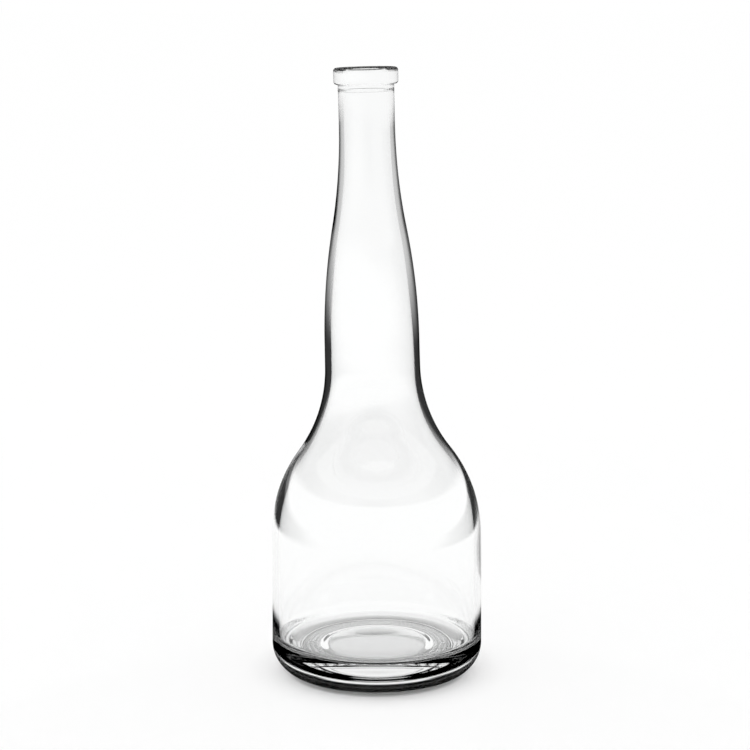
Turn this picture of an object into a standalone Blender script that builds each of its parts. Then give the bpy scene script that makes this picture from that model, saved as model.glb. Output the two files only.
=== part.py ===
# Clear glass spirit bottle: a thick base, a round body, a long swelling neck and a cork finish.
# Metres, +Z up. The origin is at the centre of the ring that the bottle stands on.

import math

import bpy

# Body
body_diameter = 0.0890
shoulder_diameter = 0.0884
shoulder_height = 0.0595
heel_radius = 0.0128
body_wall = 0.0029

# Shoulder, an S of two arcs up to the foot of the neck
shoulder_arc_radius = 0.0600
neck_foot_arc_radius = 0.0600

# Swelling lower neck
lower_neck_foot_diameter = 0.0398
lower_neck_top_diameter = 0.0396
lower_neck_length = 0.0080
lower_neck_wall = 0.0028

# Waist, a longer S of two arcs up to the straight neck
waist_lower_arc_radius = 0.2800
waist_upper_arc_radius = 0.2400

# Straight upper neck and the bore that takes a cork
neck_diameter = 0.0230
neck_length = 0.0157
bore_diameter = 0.0190

# Finish, the ring at the mouth
ring_diameter = 0.0265
ring_height = 0.0068
ring_edge_radius = 0.0013
lip_inner_radius = 0.0007
ring_edge_most_share = 0.75

# Base, seen from inside
base_thickness = 0.0166
inner_bottom_crown = 0.0021
inner_crown_power = 4
inner_heel_radius = 0.0040

# Base, seen from below: the bearing ring, the step inside it and the domed middle
bearing_inner_diameter = 0.0474
push_up_diameter = 0.0390
push_up_depth = 0.0022
push_up_crown = 0.0010

# The neck of this bottle leans a little to its left, from the top of the body up
neck_lean = math.radians(1.33)
lean_centre_height = 0.0540
lean_zone = 0.0280

# How finely the round stretches are divided
steps_round = 48
steps_edge = 3
steps_heel = 6
steps_inner_heel = 5
steps_shoulder_arc = 6
steps_waist_arc = 4
steps_step = 4
steps_crown = 3
steps_inner_crown = 5
merge_distance = 0.00001


def arc(centre, radius, start, end, steps):
    """Points on an arc, without its first one. Angles are in degrees from +X towards +Z."""
    points = []
    for i in range(1, steps + 1):
        angle = math.radians(start + (end - start) * i / steps)
        points.append((centre[0] + radius * math.cos(angle), centre[1] + radius * math.sin(angle)))
    return points


def s_turn(top_r, bottom_r, upper_radius, lower_radius):
    """How far, in degrees, each of the two arcs of an S turns, and the height of the S."""
    reach = upper_radius + lower_radius
    turn = math.acos(1 - (bottom_r - top_r) / reach)
    return math.degrees(turn), reach * math.sin(turn)


def s_curve(top_r, bottom_r, bottom_z, upper_radius, lower_radius, steps):
    """Points down an S: a hollow arc that leaves top_r upright, then a round one that meets bottom_r upright."""
    turn, rise = s_turn(top_r, bottom_r, upper_radius, lower_radius)
    top_z = bottom_z + rise
    upper = arc((top_r + upper_radius, top_z), upper_radius, 180, 180 + turn, steps)
    lower = arc((bottom_r - lower_radius, bottom_z), lower_radius, turn, 0, steps)
    return [(top_r, top_z)] + upper + lower


# Radii and heights that follow from the sizes above
body_r = body_diameter / 2
shoulder_r = shoulder_diameter / 2
neck_foot_r = lower_neck_foot_diameter / 2
lower_neck_r = lower_neck_top_diameter / 2
neck_r = neck_diameter / 2
bore_r = bore_diameter / 2
ring_r = ring_diameter / 2
neck_wall = neck_r - bore_r

shoulder_rise = s_turn(neck_foot_r, shoulder_r, neck_foot_arc_radius, shoulder_arc_radius)[1]
lower_neck_top_z = shoulder_height + shoulder_rise + lower_neck_length
waist_rise = s_turn(neck_r, lower_neck_r, waist_upper_arc_radius, waist_lower_arc_radius)[1]
ring_base_z = lower_neck_top_z + waist_rise + neck_length
bottle_height = ring_base_z + ring_height


def inner_bottom():
    """From the middle, flat at first and falling to the edge, then round the inner heel to the wall."""
    heel_centre_r = body_r - body_wall - inner_heel_radius
    slope = inner_crown_power * inner_bottom_crown / heel_centre_r
    turn = math.atan(slope)
    edge_r = heel_centre_r - inner_heel_radius * math.sin(turn)
    drop = edge_r * slope / inner_crown_power
    points = []
    for i in range(steps_inner_crown + 1):
        share = i / steps_inner_crown
        points.append((edge_r * share, base_thickness - drop * share**inner_crown_power))
    heel_centre_z = base_thickness - drop + inner_heel_radius * math.cos(turn)
    start = -90 - math.degrees(turn)
    points += arc((heel_centre_r, heel_centre_z), inner_heel_radius, start, 0, steps_inner_heel)
    return points


def inner_outline():
    """From the middle of the inner bottom, out along it and up the inner wall to the mouth."""
    points = inner_bottom()
    shoulder = s_curve(
        neck_foot_r - lower_neck_wall,
        shoulder_r - body_wall,
        shoulder_height,
        neck_foot_arc_radius + lower_neck_wall,
        shoulder_arc_radius - body_wall,
        steps_shoulder_arc,
    )
    waist = s_curve(
        bore_r,
        lower_neck_r - lower_neck_wall,
        lower_neck_top_z,
        waist_upper_arc_radius + neck_wall,
        waist_lower_arc_radius - lower_neck_wall,
        steps_waist_arc,
    )
    points += shoulder[::-1] + waist[::-1]
    lip_centre = (bore_r + lip_inner_radius, bottle_height - lip_inner_radius)
    points.append((bore_r, lip_centre[1]))
    points += arc(lip_centre, lip_inner_radius, 180, 90, steps_edge)
    return points


def outer_outline():
    """From the top of the lip, down the outer side and in under the base to its middle."""
    overhang = ring_r - neck_r
    edge = min(ring_edge_radius, overhang * ring_edge_most_share)
    root = overhang - edge
    edge_r = ring_r - edge
    points = [(edge_r, bottle_height)]
    points += arc((edge_r, bottle_height - edge), edge, 90, 0, steps_edge)
    points.append((ring_r, ring_base_z + edge))
    points += arc((edge_r, ring_base_z + edge), edge, 0, -90, steps_edge)
    points += arc((neck_r + root, ring_base_z - root), root, 90, 180, steps_edge)
    points += s_curve(
        neck_r,
        lower_neck_r,
        lower_neck_top_z,
        waist_upper_arc_radius,
        waist_lower_arc_radius,
        steps_waist_arc,
    )
    points += s_curve(
        neck_foot_r,
        shoulder_r,
        shoulder_height,
        neck_foot_arc_radius,
        shoulder_arc_radius,
        steps_shoulder_arc,
    )
    points.append((body_r, heel_radius))
    points += arc((body_r - heel_radius, heel_radius), heel_radius, 0, -90, steps_heel)
    points += underside()
    return points


def underside():
    """The bearing ring's inner edge, the step up from it and the shallow dome inside."""
    bearing_r = bearing_inner_diameter / 2
    dome_r = push_up_diameter / 2
    points = []
    for i in range(steps_step + 1):
        share = i / steps_step
        height = push_up_depth * (1 - math.cos(math.pi * share)) / 2
        points.append((bearing_r + (dome_r - bearing_r) * share, height))
    for i in range(1, steps_crown + 1):
        share = 1 - i / steps_crown
        points.append((dome_r * share, push_up_depth + push_up_crown * (1 - share**2)))
    return points


def clear_glass():
    material = bpy.data.materials.new("clear_glass")
    material.use_nodes = True
    shader = material.node_tree.nodes["Principled BSDF"]
    shader.inputs["Base Color"].default_value = (0.96, 0.98, 0.975, 1)
    shader.inputs["Roughness"].default_value = 0.01
    shader.inputs["Metallic"].default_value = 0
    shader.inputs["IOR"].default_value = 1.52
    shader.inputs["Transmission Weight"].default_value = 1
    return material


def profile_object(name, points, collection):
    """An object whose mesh is an open line through the points, in the XZ plane."""
    mesh = bpy.data.meshes.new(name)
    line = [(i, i + 1) for i in range(len(points) - 1)]
    mesh.from_pydata([(r, 0, z) for r, z in points], line, [])
    made = bpy.data.objects.new(name, mesh)
    collection.objects.link(made)
    return made


def turn_round(target):
    """Spins the outline about +Z into a closed body."""
    screw = target.modifiers.new("turned", "SCREW")
    screw.axis = "Z"
    screw.angle = math.tau
    screw.steps = steps_round
    screw.render_steps = steps_round
    screw.use_merge_vertices = True
    screw.merge_threshold = merge_distance
    screw.use_smooth_shade = True


def lean_neck(target, collection):
    """Bends the bottle towards -X over the zone of the lean, and leaves it straight above and below."""
    lean_start = lean_centre_height - lean_zone / 2
    pivot = bpy.data.objects.new("lean_pivot", None)
    pivot.location = (0, 0, lean_start)
    collection.objects.link(pivot)
    bend = target.modifiers.new("lean", "SIMPLE_DEFORM")
    bend.deform_method = "BEND"
    bend.deform_axis = "Y"
    bend.origin = pivot
    bend.angle = -neck_lean
    bend.limits = (lean_start / bottle_height, (lean_start + lean_zone) / bottle_height)


def build():
    for old in list(bpy.data.objects):
        bpy.data.objects.remove(old, do_unlink=True)
    parts = bpy.data.collections.new("spirit_bottle")
    bpy.context.scene.collection.children.link(parts)
    glass_bottle = profile_object("glass_bottle", inner_outline() + outer_outline(), parts)
    turn_round(glass_bottle)
    lean_neck(glass_bottle, parts)
    glass_bottle.data.materials.append(clear_glass())


build()
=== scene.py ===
import math

import bpy
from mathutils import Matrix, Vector


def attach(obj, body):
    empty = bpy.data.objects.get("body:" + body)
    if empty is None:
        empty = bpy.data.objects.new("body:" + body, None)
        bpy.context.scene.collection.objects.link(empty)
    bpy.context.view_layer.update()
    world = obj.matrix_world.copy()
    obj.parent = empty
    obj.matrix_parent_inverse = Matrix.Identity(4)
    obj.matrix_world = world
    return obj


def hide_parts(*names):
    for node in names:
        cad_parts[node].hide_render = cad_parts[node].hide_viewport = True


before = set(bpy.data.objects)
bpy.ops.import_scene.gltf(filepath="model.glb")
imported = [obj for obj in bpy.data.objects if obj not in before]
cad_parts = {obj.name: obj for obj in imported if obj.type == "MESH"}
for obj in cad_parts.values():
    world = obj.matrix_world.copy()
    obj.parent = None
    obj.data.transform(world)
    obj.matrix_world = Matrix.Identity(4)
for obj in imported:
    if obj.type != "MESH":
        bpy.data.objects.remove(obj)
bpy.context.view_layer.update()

# Looks of an empty clear glass spirit bottle, photographed on a white table.
# Metres, +Z up, the bottle stands on z = 0 and the camera looks along +Y.

scene = bpy.context.scene

# Bottle

bottle = {
    "bodyRadius": 0.0445,
    "shoulderRadius": 0.0442,
    "shoulderHeight": 0.0595,
    "heelRadius": 0.0128,
    "bodyWall": 0.0029,
    "shoulderArc": 0.0600,
    "neckFootArc": 0.0600,
    "neckFootRadius": 0.0199,
    "lowerNeckRadius": 0.0198,
    "lowerNeckLength": 0.0080,
    "lowerNeckWall": 0.0028,
    "waistLowerArc": 0.2800,
    "waistUpperArc": 0.2400,
    "neckRadius": 0.0115,
    "neckLength": 0.0157,
    "boreRadius": 0.0095,
    "ringRadius": 0.01325,
    "ringHeight": 0.0068,
    "ringEdge": 0.0013,
    "lipEdge": 0.0007,
    "baseThickness": 0.0166,
    "innerCrown": 0.0021,
    "innerCrownPower": 4,  # how flat the middle of the inner bottom is
    "innerHeel": 0.0040,
    "bearingInner": 0.0237,
    "pushUpRadius": 0.0195,
    "pushUpDepth": 0.0022,
    "pushUpCrown": 0.0010,
    "lean": math.radians(1.33),  # the neck leans to the left from the top of the body
    "leanStart": 0.0400,
    "leanZone": 0.0280,
    "segments": 192,
}

stipple = {  # the moulded dots that the bottle stands on
    "inner": 0.0240,
    "outer": 0.0297,
    "rows": 3,
    "around": 84,
    "depth": 0.00060,
    "dotRadius": 0.00092,
    "outerFade": 0.0004,  # the dots die away over this much at the two edges of their ring
    "innerFade": 0.0003,
    "rowStep": 0.00025,
    "finer": 4,  # this many times more segments than the rest of the bottle
}

mouldMarks = {
    "lineBelowRing": 0.0023,  # where the neck ring of the mould met the body mould
    "lineHeight": 0.00013,
    "lineWidth": 0.00045,
}

wallWaves = {  # slow unevenness of blown glass, (size, turns round, waves up, phase)
    "inner": [(0.00006, 2, 9.0, 0.4), (0.00004, 3, -14.0, 1.9), (0.00002, 5, 21.0, 3.1)],
    "outer": [(0.00003, 2, 11.0, 2.2), (0.00002, 5, -17.0, 0.3)],
}

waveFade = {  # the base and the finish are pressed true, so the waves die away towards both
    "foot": 0.022,
    "footLength": 0.020,
    "belowRing": 0.020,
    "ringLength": 0.030,
}


def arcPoints(centre, radius, start, end, steps):
    # angles in degrees from +X towards +Z, without the first point
    made = []
    for i in range(1, steps + 1):
        angle = math.radians(start + (end - start) * i / steps)
        made.append((centre[0] + radius * math.cos(angle), centre[1] + radius * math.sin(angle)))
    return made


def sTurn(topR, bottomR, upperArc, lowerArc):
    reach = upperArc + lowerArc
    turn = math.acos(1 - (bottomR - topR) / reach)
    return math.degrees(turn), reach * math.sin(turn)


def sCurve(topR, bottomR, bottomZ, upperArc, lowerArc, steps):
    turn, rise = sTurn(topR, bottomR, upperArc, lowerArc)
    upper = arcPoints((topR + upperArc, bottomZ + rise), upperArc, 180, 180 + turn, steps)
    lower = arcPoints((bottomR - lowerArc, bottomZ), lowerArc, turn, 0, steps)
    return [(topR, bottomZ + rise)] + upper + lower


def straight(start, end, steps):
    # points between two others, without the first one
    return [tuple(a + (b - a) * i / steps for a, b in zip(start, end)) for i in range(1, steps + 1)]


def bottleHeights(b):
    shoulderRise = sTurn(b["neckFootRadius"], b["shoulderRadius"], b["neckFootArc"], b["shoulderArc"])[1]
    lowerNeckTop = b["shoulderHeight"] + shoulderRise + b["lowerNeckLength"]
    waistRise = sTurn(b["neckRadius"], b["lowerNeckRadius"], b["waistUpperArc"], b["waistLowerArc"])[1]
    ringBase = lowerNeckTop + waistRise + b["neckLength"]
    return lowerNeckTop, ringBase, ringBase + b["ringHeight"]


def innerBottom(b, crownSteps, heelSteps):
    # from the middle, flat at first and falling to the edge, then round the inner heel to the wall
    centreR = b["bodyRadius"] - b["bodyWall"] - b["innerHeel"]
    slope = b["innerCrownPower"] * b["innerCrown"] / centreR
    turn = math.atan(slope)
    edgeR = centreR - b["innerHeel"] * math.sin(turn)
    drop = edgeR * slope / b["innerCrownPower"]
    made = []
    for i in range(crownSteps + 1):
        share = i / crownSteps
        made.append((edgeR * share, b["baseThickness"] - drop * share ** b["innerCrownPower"]))
    centreZ = b["baseThickness"] - drop + b["innerHeel"] * math.cos(turn)
    made += arcPoints((centreR, centreZ), b["innerHeel"], -90 - math.degrees(turn), 0, heelSteps)
    return made


def innerOutline(b):
    # from the middle of the inner bottom, out and up to the top of the lip
    lowerNeckTop, ringBase, top = bottleHeights(b)
    made = innerBottom(b, 18, 18)
    shoulder = sCurve(
        b["neckFootRadius"] - b["lowerNeckWall"],
        b["shoulderRadius"] - b["bodyWall"],
        b["shoulderHeight"],
        b["neckFootArc"] + b["lowerNeckWall"],
        b["shoulderArc"] - b["bodyWall"],
        20,
    )[::-1]
    neckWall = b["neckRadius"] - b["boreRadius"]
    waist = sCurve(
        b["boreRadius"],
        b["lowerNeckRadius"] - b["lowerNeckWall"],
        lowerNeckTop,
        b["waistUpperArc"] + neckWall,
        b["waistLowerArc"] - b["lowerNeckWall"],
        20,
    )[::-1]
    made += straight(made[-1], shoulder[0], 16) + shoulder[1:]
    made += straight(made[-1], waist[0], 4) + waist[1:]
    lipCentre = (b["boreRadius"] + b["lipEdge"], top - b["lipEdge"])
    made += straight(made[-1], (b["boreRadius"], lipCentre[1]), 12)
    made += arcPoints(lipCentre, b["lipEdge"], 180, 90, 6)
    return made


def outerOutline(b):
    # from the top of the lip, down the outer side to the ring that the bottle stands on
    lowerNeckTop, ringBase, top = bottleHeights(b)
    edge = b["ringEdge"]
    edgeR = b["ringRadius"] - edge
    root = b["ringRadius"] - b["neckRadius"] - edge
    made = [(edgeR, top)]
    made += arcPoints((edgeR, top - edge), edge, 90, 0, 8)
    made += straight(made[-1], (b["ringRadius"], ringBase + edge), 4)
    made += arcPoints((edgeR, ringBase + edge), edge, 0, -90, 8)
    made += arcPoints((b["neckRadius"] + root, ringBase - root), root, 90, 180, 5)
    waist = sCurve(
        b["neckRadius"], b["lowerNeckRadius"], lowerNeckTop, b["waistUpperArc"], b["waistLowerArc"], 20
    )
    lineZ = ringBase - mouldMarks["lineBelowRing"]
    reach = mouldMarks["lineWidth"] / 2
    made += straight(made[-1], (b["neckRadius"], lineZ + reach), 3)
    for i in range(1, 8):
        share = i / 8
        swell = mouldMarks["lineHeight"] * math.sin(math.pi * share) ** 2
        made.append((b["neckRadius"] + swell, lineZ + reach * (1 - 2 * share)))
    made.append((b["neckRadius"], lineZ - reach))
    made += straight(made[-1], waist[0], 8) + waist[1:]
    shoulder = sCurve(
        b["neckFootRadius"],
        b["shoulderRadius"],
        b["shoulderHeight"],
        b["neckFootArc"],
        b["shoulderArc"],
        22,
    )
    made += straight(made[-1], shoulder[0], 4) + shoulder[1:]
    made += straight(made[-1], (b["bodyRadius"], b["heelRadius"]), 16)
    made += arcPoints((b["bodyRadius"] - b["heelRadius"], b["heelRadius"]), b["heelRadius"], 0, -90, 22)
    return made


def undersideOutline(b):
    # from the inner edge of the dots, up the step and in over the shallow dome
    made = []
    for i in range(13):
        share = i / 12
        height = b["pushUpDepth"] * (1 - math.cos(math.pi * share)) / 2
        made.append((b["bearingInner"] + (b["pushUpRadius"] - b["bearingInner"]) * share, height))
    for i in range(1, 13):
        share = 1 - i / 12
        made.append((b["pushUpRadius"] * share, b["pushUpDepth"] + b["pushUpCrown"] * (1 - share**2)))
    return made


def dotHeight(r, angle):
    # how far the moulded dots leave the glass above the table, 0 on top of a dot
    s = stipple
    pitch = (s["outer"] - s["inner"]) / s["rows"]
    outerFade = max(0, (s["outer"] + s["outerFade"] - r) / s["outerFade"])
    innerFade = max(0, (r - s["inner"] + s["innerFade"]) / s["innerFade"])
    fade = min(1, outerFade, innerFade)
    nearest = 1
    for row in range(s["rows"]):
        rowR = s["inner"] + pitch * (row + 0.5)
        if abs(rowR - r) > s["dotRadius"]:
            continue
        turn = math.tau / s["around"]
        offset = (angle / turn - 0.5 * (row % 2)) % 1
        across = (offset - round(offset)) * turn * rowR
        nearest = min(nearest, math.hypot(across, rowR - r) / s["dotRadius"])
    return s["depth"] * fade * (1 - (1 - nearest**2) ** 1.5)


def leaned(b, x, y, z):
    # the same lean as the solid has: straight, then a short bend, then straight again
    if z <= b["leanStart"]:
        return x, y, z
    turn = b["lean"] * min(1, (z - b["leanStart"]) / b["leanZone"])
    bendR = b["leanZone"] / b["lean"]
    past = max(0, z - b["leanStart"] - b["leanZone"])
    centreX = -bendR * (1 - math.cos(turn)) - past * math.sin(turn)
    centreZ = b["leanStart"] + bendR * math.sin(turn) + past * math.cos(turn)
    return centreX + x * math.cos(turn), y, centreZ + x * math.sin(turn)


def waveHeight(waves, angle, z, fade):
    total = 0
    for size, turns, up, phase in waves:
        total += size * math.sin(turns * angle + up * z * math.tau + phase)
    return total * fade


def ringOfPoints(b, r, z, count, side):
    made = []
    _, ringBase, _ = bottleHeights(b)
    w = waveFade
    footFade = max(0, (z - w["foot"]) / w["footLength"])
    ringFade = max(0, (ringBase - w["belowRing"] - z) / w["ringLength"])
    fade = min(1, footFade, ringFade)
    for i in range(count):
        angle = math.tau * i / count
        lift = dotHeight(r, angle) if side == "dots" else 0
        radial = r + (waveHeight(wallWaves[side], angle, z, fade) if side in wallWaves else 0)
        made.append(leaned(b, radial * math.cos(angle), radial * math.sin(angle), z + lift))
    return made


def buildBottle(b):
    rows = []  # one list of points for each ring
    for r, z in outerOutline(b):
        rows.append(ringOfPoints(b, r, z, b["segments"], "outer"))
    dotsStart = stipple["outer"] + stipple["outerFade"]
    steps = round((dotsStart - stipple["inner"] + stipple["innerFade"]) / stipple["rowStep"])
    for i in range(steps + 1):
        r = dotsStart - stipple["rowStep"] * i
        rows.append(ringOfPoints(b, r, 0, b["segments"] * stipple["finer"], "dots"))
    for r, z in undersideOutline(b)[1:-1]:
        rows.append(ringOfPoints(b, r, z, b["segments"], "under"))
    underCentre = [(0, 0, b["pushUpDepth"] + b["pushUpCrown"])]
    inner = innerOutline(b)
    innerCentre = [(0, 0, inner[0][1])]
    innerRows = [ringOfPoints(b, r, z, b["segments"], "inner") for r, z in inner[1:]]
    loop = [innerCentre] + innerRows + rows + [underCentre]
    loop.reverse()  # so that every face looks out of the glass

    points, starts = [], []
    for ring in loop:
        starts.append(len(points))
        points += ring
    faces = []
    for (a, ringA), (c, ringC) in zip(zip(starts, loop), zip(starts[1:], loop[1:])):
        faces += joinRings(a, len(ringA), c, len(ringC))
    mesh = bpy.data.meshes.new("clearGlassBottle")
    mesh.from_pydata(points, [], faces)
    mesh.validate()
    mesh.shade_smooth()
    made = bpy.data.objects.new("clearGlassBottle", mesh)
    scene.collection.objects.link(made)
    return made


def joinRings(a, countA, c, countC):
    # faces between two rings; one may be a single point, or have several times more points than the other
    if countA == 1:
        return [(a, c + (i + 1) % countC, c + i) for i in range(countC)]
    if countC == 1:
        return [(a + i, a + (i + 1) % countA, c) for i in range(countA)]
    if countA == countC:
        return [(a + i, a + (i + 1) % countA, c + (i + 1) % countC, c + i) for i in range(countA)]
    if countA < countC:
        ratio = countC // countA
        made = []
        for i in range(countA):
            for k in range(ratio):
                near = a + (i if k < ratio // 2 else (i + 1) % countA)
                made.append((near, c + (i * ratio + k + 1) % countC, c + i * ratio + k))
            made.append((a + i, a + (i + 1) % countA, c + i * ratio + ratio // 2))
        return made
    return [tuple(reversed(face)) for face in joinRings(c, countC, a, countA)]


# Glass

glassLook = {
    "tint": (0.997, 1.0, 0.999, 1),
    "ior": 1.52,
    "roughLow": 0.0,
    "roughHigh": 0.012,
    "smudgeScale": 22,
    "smudge": (0.45, 0.75),  # where the noise starts to count as a smudge, and where it is a whole one
    "rippleScale": 38,
    "rippleUpright": 0.3,  # the ripple is drawn out upwards by the blowing
    "rippleDistance": 0.00006,
}


def addNode(tree, kind, **inputs):
    node = tree.nodes.new(kind)
    for name, value in inputs.items():
        node.inputs[name].default_value = value
    return node


def mathNode(tree, operation, first, second=None, clamp=False):
    node = tree.nodes.new("ShaderNodeMath")
    node.operation = operation
    node.use_clamp = clamp
    for socket, value in zip(node.inputs, (first, second)):
        if value is None:
            continue
        if isinstance(value, (int, float)):
            socket.default_value = value
        else:
            tree.links.new(value, socket)
    return node.outputs[0]


def product(tree, *values):
    made = values[0]
    for value in values[1:]:
        made = mathNode(tree, "MULTIPLY", made, value)
    return made


def rampNode(tree, value, low, high, fromValue=0.0, toValue=1.0):
    # smooth step from one value to another
    node = tree.nodes.new("ShaderNodeMapRange")
    node.interpolation_type = "SMOOTHSTEP"
    for name, number in (("From Min", low), ("From Max", high), ("To Min", fromValue), ("To Max", toValue)):
        node.inputs[name].default_value = number
    tree.links.new(value, node.inputs["Value"])
    return node.outputs["Result"]


def clearGlassMaterial(look):
    material = bpy.data.materials.new("clearFlintGlass")
    material.use_nodes = True
    tree = material.node_tree
    shader = tree.nodes["Principled BSDF"]
    shader.inputs["Base Color"].default_value = look["tint"]
    shader.inputs["Metallic"].default_value = 0
    shader.inputs["IOR"].default_value = look["ior"]
    shader.inputs["Transmission Weight"].default_value = 1
    place = tree.nodes.new("ShaderNodeTexCoord")
    smudge = addNode(tree, "ShaderNodeTexNoise", Scale=look["smudgeScale"], Detail=3, Roughness=0.55)
    tree.links.new(place.outputs["Object"], smudge.inputs["Vector"])
    rough = rampNode(tree, smudge.outputs["Fac"], *look["smudge"], look["roughLow"], look["roughHigh"])
    tree.links.new(rough, shader.inputs["Roughness"])
    stretch = tree.nodes.new("ShaderNodeMapping")
    stretch.inputs["Scale"].default_value = (1, 1, look["rippleUpright"])
    tree.links.new(place.outputs["Object"], stretch.inputs["Vector"])
    ripple = addNode(tree, "ShaderNodeTexNoise", Scale=look["rippleScale"], Detail=1)
    tree.links.new(stretch.outputs["Vector"], ripple.inputs["Vector"])
    bump = addNode(tree, "ShaderNodeBump", Strength=1, Distance=look["rippleDistance"])
    tree.links.new(ripple.outputs["Fac"], bump.inputs["Height"])
    tree.links.new(bump.outputs["Normal"], shader.inputs["Normal"])
    return material


glassBottle = buildBottle(bottle)
glassBottle.data.materials.append(clearGlassMaterial(glassLook))
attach(glassBottle, "root")
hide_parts("glass_bottle")
print("bottle:", len(glassBottle.data.polygons), "faces")

# Table

table = {
    "size": 60.0,
    "level": -0.0002,  # just under the glass, so that no two faces lie in one plane
    "mirror": 0.06,
    "mirrorRoughness": 0.08,
    "white": 0.82,  # share of painted white glow that lifts the table above its real shadow
    "contact": 0.015,  # the painted glow fades by ambient occlusion this close to the glass, so the shadow round the glass ends where the glass is this far off
    "paintedUnderGlow": 0.35,  # painted light: the same white glow under the bottle, where the glass shows it, strongest where the gap is widest
    "touch": 0.002,  # painted contact shadow: the table's colour is darkened where the gap under the glass is smaller than this
    "paintedTouchShadow": 0.45,  # how much of the table's colour the painted contact shadow leaves where they touch
    "mirroredReach": (0.10, 0.12),  # painted shade: to light that the glass mirrored, the table is black as far as this
}


def lightClasses(tree):
    # what the light that arrives here has been through since the camera
    paths = tree.nodes.new("ShaderNodeLightPath")
    direct = mathNode(tree, "LESS_THAN", paths.outputs["Diffuse Depth"], 0.5)
    mirrored = mathNode(tree, "GREATER_THAN", paths.outputs["Glossy Depth"], 0.5)
    through = mathNode(tree, "GREATER_THAN", paths.outputs["Transmission Depth"], 0.5)
    inWall = mathNode(tree, "LESS_THAN", paths.outputs["Transmission Depth"], 2.5)
    seenThrough = mathNode(tree, "MULTIPLY", mathNode(tree, "SUBTRACT", 1, mirrored), through)
    return {
        "camera": paths.outputs["Is Camera Ray"],
        "length": paths.outputs["Ray Length"],
        "through": mathNode(tree, "MULTIPLY", seenThrough, direct),
        "mirrored": product(tree, mirrored, through, inWall, direct),
        "skin": product(tree, mirrored, mathNode(tree, "SUBTRACT", 1, through), direct),
    }


def distanceNode(tree):
    # distance from the object's own middle
    place = tree.nodes.new("ShaderNodeTexCoord")
    length = tree.nodes.new("ShaderNodeVectorMath")
    length.operation = "LENGTH"
    tree.links.new(place.outputs["Object"], length.inputs[0])
    return length.outputs["Value"]


def tableMaterial(t):
    material = bpy.data.materials.new("whiteTable")
    material.use_nodes = True
    tree = material.node_tree
    tree.nodes.clear()
    output = tree.nodes.new("ShaderNodeOutputMaterial")
    seen = lightClasses(tree)
    near = rampNode(tree, distanceNode(tree), *t["mirroredReach"], 1.0, 0.0)
    # painted contact shadow: ambient occlusion darkens the table's colour where the glass nearly touches it
    gap = addNode(tree, "ShaderNodeAmbientOcclusion", Distance=t["touch"])
    matt = tree.nodes.new("ShaderNodeBsdfDiffuse")
    tree.links.new(rampNode(tree, gap.outputs["AO"], 0, 1, t["paintedTouchShadow"], 1.0), matt.inputs["Color"])
    gloss = addNode(tree, "ShaderNodeBsdfGlossy", Roughness=t["mirrorRoughness"])
    sheen = addNode(tree, "ShaderNodeMixShader", Fac=t["mirror"])
    tree.links.new(matt.outputs[0], sheen.inputs[1])
    tree.links.new(gloss.outputs[0], sheen.inputs[2])
    # painted light: a white glow on the table for the camera and for light seen through the glass; ambient
    # occlusion fades it near the glass, where the real shadow shows
    white = addNode(tree, "ShaderNodeEmission", Strength=1)
    clearance = addNode(tree, "ShaderNodeAmbientOcclusion", Distance=t["contact"])
    shown = mathNode(tree, "ADD", seen["camera"], seen["through"])
    shown = product(tree, shown, clearance.outputs["AO"], t["white"])
    # painted light: extra glow on the table under the raised middle of the base, seen only through the
    # glass
    under = product(tree, seen["through"], gap.outputs["AO"], t["paintedUnderGlow"])
    shown = mathNode(tree, "ADD", shown, under, clamp=True)
    lifted = tree.nodes.new("ShaderNodeMixShader")
    tree.links.new(shown, lifted.inputs[0])
    tree.links.new(sheen.outputs[0], lifted.inputs[1])
    tree.links.new(white.outputs[0], lifted.inputs[2])
    # painted shade: near the bottle the table is black to light that the glass mirrored
    dark = addNode(tree, "ShaderNodeEmission", Strength=0)
    whole = tree.nodes.new("ShaderNodeMixShader")
    reflected = mathNode(tree, "ADD", seen["mirrored"], seen["skin"])
    tree.links.new(mathNode(tree, "MULTIPLY", reflected, near), whole.inputs[0])
    tree.links.new(lifted.outputs[0], whole.inputs[1])
    tree.links.new(dark.outputs[0], whole.inputs[2])
    tree.links.new(whole.outputs[0], output.inputs["Surface"])
    return material


def buildTable(t):
    half = t["size"] / 2
    mesh = bpy.data.meshes.new("whiteTable")
    mesh.from_pydata(
        [(-half, -half, 0), (half, -half, 0), (half, half, 0), (-half, half, 0)], [], [(0, 1, 2, 3)]
    )
    made = bpy.data.objects.new("whiteTable", mesh)
    made.location = (0, 0, t["level"])
    scene.collection.objects.link(made)
    mesh.materials.append(tableMaterial(t))
    return made


buildTable(table)
print("table ready")

# Cards

# Dark cards round the bottle paint its dark edges and the paler reflections in the glass: painted
# reflections, glowing where they are pale.
# The camera doesn't see them, and they are the same every quarter turn.
cards = {  # painted reflections: a round glowing wall, which only light that the glass mirrored sees
    "radius": 0.25,
    "bottom": 0.017,  # out of reach of the table's contact shadow
    "height": 0.48,
    "segments": 96,
    "foot": (0.017, 0.028),  # where the dark wall starts above the table
    "end": (0.212, 0.232),  # and where it stops
    "skinEnd": (0.42, 0.46),  # and stops for what the outer surface mirrors
    "dark": 0.04,
    "rise": (0.10, 0.18),  # it grows paler towards the top
    "paleTurn": (8, 34),  # and away from the middle of each quarter, in degrees
    "pale": 0.62,  # how pale it gets there
    "paleMiddle": 0.10,  # and in the middle of a quarter
    "squareLength": 0.2125,  # light that left the wall squarely has come this short a way
    "squareAdded": 0.020,  # and this much more at the top of the wall
    "squareRise": (0.055, 0.100),
    "squareBlend": 0.008,
}

shelf = {  # painted light and shade: a dark shelf with glowing windows, which light turned upwards by the thick base sees
    "height": 0.045,
    "inner": 0.05,
    "outer": 0.55,
    "segments": 96,
    "window": (10, 18),  # half its width in degrees
    "windowFrom": (0.085, 0.095),
    "windowTo": (0.125, 0.155),
    "level": 0.9,
}

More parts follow.
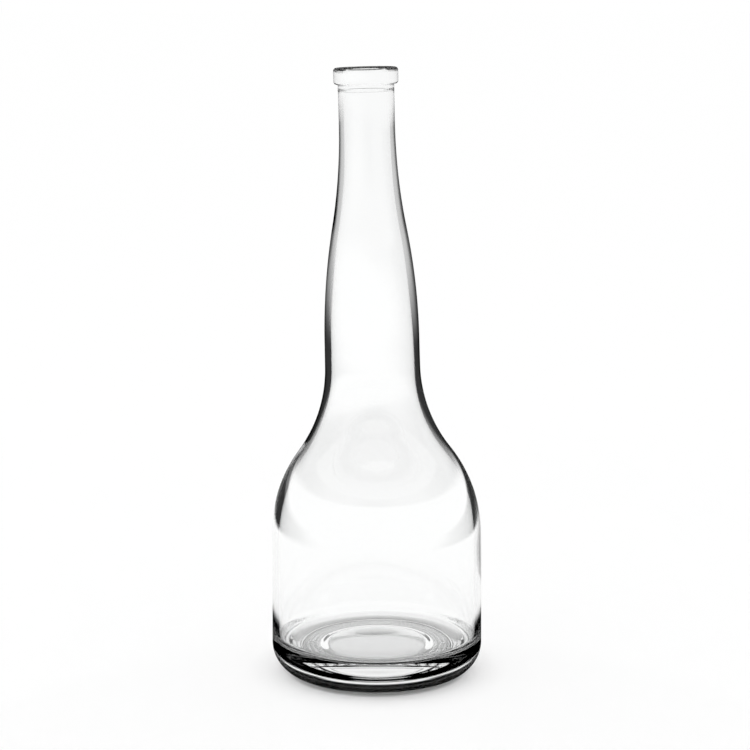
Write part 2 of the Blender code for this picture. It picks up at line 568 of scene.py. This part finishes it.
hood = {  # painted shade: a dark hood, which light turned steeply down by the lip sees
    "inner": (0.0128, 0.2400),
    "outer": (0.4500, 0.1230),
    "middle": -0.0047,
    "segments": 96,
}


def quarterTurn(tree):
    # degrees from the middle of the nearest quarter, and the height
    place = tree.nodes.new("ShaderNodeTexCoord")
    axes = tree.nodes.new("ShaderNodeSeparateXYZ")
    tree.links.new(place.outputs["Object"], axes.inputs[0])
    angle = mathNode(tree, "ARCTAN2", axes.outputs["X"], axes.outputs["Y"])
    wrap = tree.nodes.new("ShaderNodeMath")
    wrap.operation = "WRAP"
    tree.links.new(angle, wrap.inputs[0])
    wrap.inputs[1].default_value = math.pi / 4
    wrap.inputs[2].default_value = -math.pi / 4
    turn = mathNode(tree, "MULTIPLY", wrap.outputs[0], 180 / math.pi)
    return mathNode(tree, "ABSOLUTE", turn), axes.outputs["Z"]


def stageCard(name):
    # a new material that is clear where the mix is 0 and glows with the emission's strength where it is 1
    material = bpy.data.materials.new(name)
    material.use_nodes = True
    tree = material.node_tree
    tree.nodes.clear()
    output = tree.nodes.new("ShaderNodeOutputMaterial")
    clear = tree.nodes.new("ShaderNodeBsdfTransparent")
    card = addNode(tree, "ShaderNodeEmission", Strength=0)
    mix = tree.nodes.new("ShaderNodeMixShader")
    tree.links.new(clear.outputs[0], mix.inputs[1])
    tree.links.new(card.outputs[0], mix.inputs[2])
    tree.links.new(mix.outputs[0], output.inputs["Surface"])
    return material, tree, card.inputs["Strength"], mix.inputs[0]


def cardMaterial(c):
    # painted reflections: dark edges and pale glowing bands, seen only in what the glass mirrors
    material, tree, strength, share = stageCard("paintedReflectionCards")
    seen = lightClasses(tree)
    turn, height = quarterTurn(tree)
    squareTop = c["squareLength"] + c["squareAdded"]
    square = rampNode(tree, height, *c["squareRise"], c["squareLength"], squareTop)
    glancing = rampNode(tree, mathNode(tree, "SUBTRACT", seen["length"], square), 0, c["squareBlend"])
    inside = mathNode(tree, "MULTIPLY", seen["mirrored"], rampNode(tree, height, *c["end"], 1.0, 0.0))
    outside = mathNode(tree, "MULTIPLY", seen["skin"], rampNode(tree, height, *c["skinEnd"], 1.0, 0.0))
    reflected = mathNode(tree, "ADD", inside, outside)
    tree.links.new(product(tree, reflected, glancing, rampNode(tree, height, *c["foot"])), share)
    pale = rampNode(tree, turn, *c["paleTurn"], c["paleMiddle"], c["pale"])
    pale = product(tree, pale, rampNode(tree, height, *c["rise"]))
    pale = mathNode(tree, "MULTIPLY", seen["mirrored"], mathNode(tree, "ADD", pale, c["dark"]))
    tree.links.new(pale, strength)
    return material


def shelfMaterial(s):
    # painted light: windows glowing on a dark shelf, seen only by light that has been through the glass
    material, tree, strength, share = stageCard("paintedLightShelf")
    seen = lightClasses(tree)
    turn, _ = quarterTurn(tree)
    radius = distanceNode(tree)
    window = product(
        tree,
        rampNode(tree, turn, *s["window"], s["level"], 0.0),
        rampNode(tree, radius, *s["windowFrom"]),
        rampNode(tree, radius, *s["windowTo"], 1.0, 0.0),
    )
    tree.links.new(window, strength)
    side = tree.nodes.new("ShaderNodeNewGeometry")
    inGlass = mathNode(tree, "ADD", seen["mirrored"], seen["through"])
    tree.links.new(product(tree, inGlass, side.outputs["Backfacing"]), share)
    return material


def hoodMaterial():
    # painted shade: black, seen only by light that has been through or mirrored by the glass
    material, tree, _, share = stageCard("paintedShadeHood")
    seen = lightClasses(tree)
    side = tree.nodes.new("ShaderNodeNewGeometry")
    downward = mathNode(tree, "SUBTRACT", 1, side.outputs["Backfacing"])
    inGlass = mathNode(tree, "ADD", seen["mirrored"], seen["through"])
    tree.links.new(product(tree, inGlass, downward), share)
    return material


def buildBand(name, first, second, segments, material):
    # a band of faces between two circles, each given as (radius, height), that stands round the bottle
    points = []
    for r, z in (first, second):
        for i in range(segments):
            angle = math.tau * i / segments
            points.append((r * math.cos(angle), r * math.sin(angle), z))
    mesh = bpy.data.meshes.new(name)
    mesh.from_pydata(points, [], joinRings(0, segments, segments, segments))
    made = bpy.data.objects.new(name, mesh)
    scene.collection.objects.link(made)
    mesh.materials.append(material)
    return made


cardFoot = (cards["radius"], cards["bottom"])
cardTop = (cards["radius"], cards["height"])
buildBand("paintedReflectionCards", cardFoot, cardTop, cards["segments"], cardMaterial(cards))
shelfEdges = [(shelf["outer"], 0), (shelf["inner"], 0)]
shelfBand = buildBand("paintedLightShelf", *shelfEdges, shelf["segments"], shelfMaterial(shelf))
shelfBand.location = (0, 0, shelf["height"])
hoodBand = buildBand("paintedShadeHood", hood["outer"], hood["inner"], hood["segments"], hoodMaterial())
hoodBand.location = (hood["middle"], 0, 0)
print("cards ready")

# Light


def buildWorld():
    world = bpy.data.worlds.new("whiteStudio")
    scene.world = world
    world.use_nodes = True
    background = world.node_tree.nodes["Background"]
    background.inputs["Color"].default_value = (1, 1, 1, 1)
    background.inputs["Strength"].default_value = 1


buildWorld()

lamp = {"size": 0.9, "place": (-0.9, -0.9, 1.5), "power": 2}


def buildLamp(l):
    data = bpy.data.lights.new("softBox", "AREA")
    data.shape = "SQUARE"
    data.size = l["size"]
    data.energy = l["power"]
    made = bpy.data.objects.new("softBox", data)
    made.location = l["place"]
    made.rotation_euler = (-Vector(l["place"])).to_track_quat("-Z", "Y").to_euler()
    scene.collection.objects.link(made)
    made.visible_camera = False
    made.visible_glossy = False
    made.visible_transmission = False
    return made


buildLamp(lamp)
print("light ready")

# Camera

camera = {
    "place": (-0.0008, -0.8795, 0.28577),
    "pitch": math.radians(10.20),
    "lens": 102.665,
    "sensor": 36,
}

cameraData = bpy.data.cameras.new("camera")
cameraData.lens = camera["lens"]
cameraData.sensor_width = camera["sensor"]
cameraObject = bpy.data.objects.new("camera", cameraData)
cameraObject.location = camera["place"]
cameraObject.rotation_euler = (math.pi / 2 - camera["pitch"], 0, 0)
scene.collection.objects.link(cameraObject)
scene.camera = cameraObject

scene.view_settings.view_transform = "Standard"
scene.cycles.max_bounces = 32
scene.cycles.glossy_bounces = 16
scene.cycles.transmission_bounces = 24
scene.cycles.diffuse_bounces = 3
print("camera ready")
